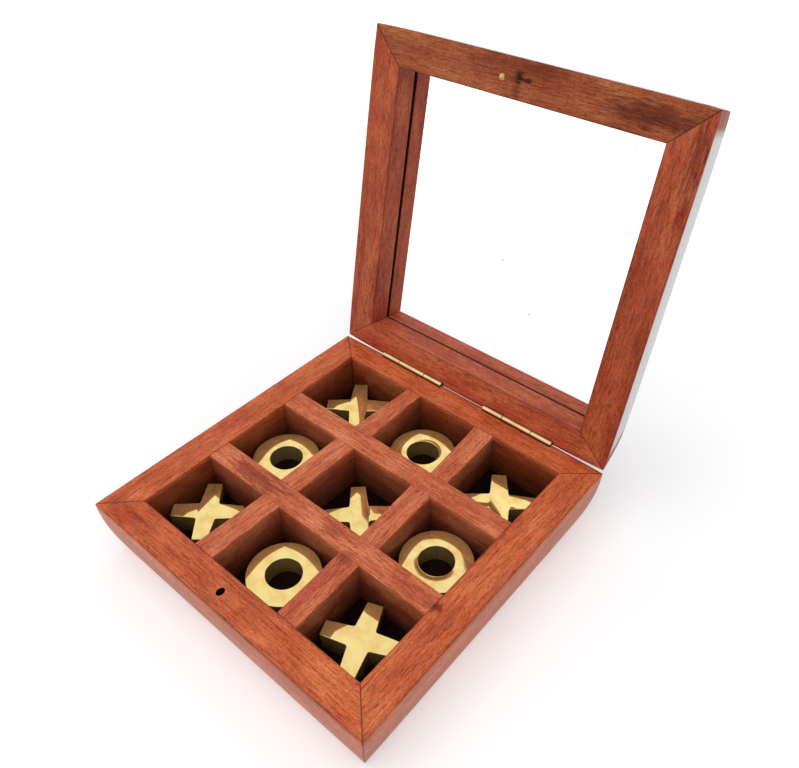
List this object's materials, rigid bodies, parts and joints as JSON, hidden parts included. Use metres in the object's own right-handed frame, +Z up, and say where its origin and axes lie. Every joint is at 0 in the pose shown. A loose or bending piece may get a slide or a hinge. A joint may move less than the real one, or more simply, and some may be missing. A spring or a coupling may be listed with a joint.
{
  "type": "tic-tac-toe box",
  "caption": "Square hinged wooden tic-tac-toe box with a glass lid, a divided tray and loose brass X and O pieces, standing open",
  "frame": {"origin": "middle of the flat underside of the base, at the height of what it rests on", "axes": "+X along the hinge line towards the box's right end, +Y towards the hinged back, +Z up"},
  "size_m": [0.13, 0.1731, 0.1532],
  "materials": {
    "base_wood": "oiled rosewood",
    "divider_wood": "oiled rosewood",
    "floor_wood": "dark stained board",
    "lid_wood": "oiled rosewood",
    "glass": "clear float glass",
    "piece_brass": "cast and polished",
    "hardware_brass": "rolled, satin"
  },
  "bodies": {
    "base": {"base_back_rail": "base_wood", "base_floor": "floor_wood", "base_front_rail": "base_wood", "base_left_rail": "base_wood", "base_right_rail": "base_wood", "divider_cross_back_left": "divider_wood", "divider_cross_back_right": "divider_wood", "divider_cross_front_left": "divider_wood", "divider_cross_front_right": "divider_wood", "divider_cross_middle_left": "divider_wood", "divider_cross_middle_right": "divider_wood", "divider_long_back": "divider_wood", "divider_long_front": "divider_wood", "hinge_left_base_leaf": "hardware_brass", "hinge_left_base_screws": "hardware_brass", "hinge_left_pin": "hardware_brass", "hinge_right_base_leaf": "hardware_brass", "hinge_right_base_screws": "hardware_brass", "hinge_right_pin": "hardware_brass"},
    "lid": {"catch_pin": "hardware_brass", "hinge_left_lid_leaf": "hardware_brass", "hinge_left_lid_screws": "hardware_brass", "hinge_right_lid_leaf": "hardware_brass", "hinge_right_lid_screws": "hardware_brass", "lid_back_rail": "lid_wood", "lid_front_rail": "lid_wood", "lid_glass": "glass", "lid_left_rail": "lid_wood", "lid_right_rail": "lid_wood"},
    "o_piece_back": {"o_piece_back": "piece_brass"},
    "o_piece_front": {"o_piece_front": "piece_brass"},
    "o_piece_left": {"o_piece_left": "piece_brass"},
    "o_piece_right": {"o_piece_right": "piece_brass"},
    "x_piece_back_left": {"x_piece_back_left": "piece_brass"},
    "x_piece_back_right": {"x_piece_back_right": "piece_brass"},
    "x_piece_front_left": {"x_piece_front_left": "piece_brass"},
    "x_piece_front_right": {"x_piece_front_right": "piece_brass"},
    "x_piece_middle": {"x_piece_middle": "piece_brass"}
  },
  "joints": [
    {"name": "lid_hinge", "type": "hinge", "parent": "base", "child": "lid", "pos_m": [0, 0.0651, 0.0253], "axis": [-1, 0, 0], "range_deg": [-100.5, 0]},
    {"name": "lift_o_piece_back", "type": "slide", "parent": "base", "child": "o_piece_back", "axis": [0, 0, 1], "range_m": [0, 0.024]},
    {"name": "lift_o_piece_front", "type": "slide", "parent": "base", "child": "o_piece_front", "axis": [0, 0, 1], "range_m": [0, 0.024]},
    {"name": "lift_o_piece_left", "type": "slide", "parent": "base", "child": "o_piece_left", "axis": [0, 0, 1], "range_m": [0, 0.024]},
    {"name": "lift_o_piece_right", "type": "slide", "parent": "base", "child": "o_piece_right", "axis": [0, 0, 1], "range_m": [0, 0.024]},
    {"name": "lift_x_piece_back_left", "type": "slide", "parent": "base", "child": "x_piece_back_left", "axis": [0, 0, 1], "range_m": [0, 0.024]},
    {"name": "lift_x_piece_back_right", "type": "slide", "parent": "base", "child": "x_piece_back_right", "axis": [0, 0, 1], "range_m": [0, 0.024]},
    {"name": "lift_x_piece_front_left", "type": "slide", "parent": "base", "child": "x_piece_front_left", "axis": [0, 0, 1], "range_m": [0, 0.024]},
    {"name": "lift_x_piece_front_right", "type": "slide", "parent": "base", "child": "x_piece_front_right", "axis": [0, 0, 1], "range_m": [0, 0.024]},
    {"name": "lift_x_piece_middle", "type": "slide", "parent": "base", "child": "x_piece_middle", "axis": [0, 0, 1], "range_m": [0, 0.024]}
  ]
}
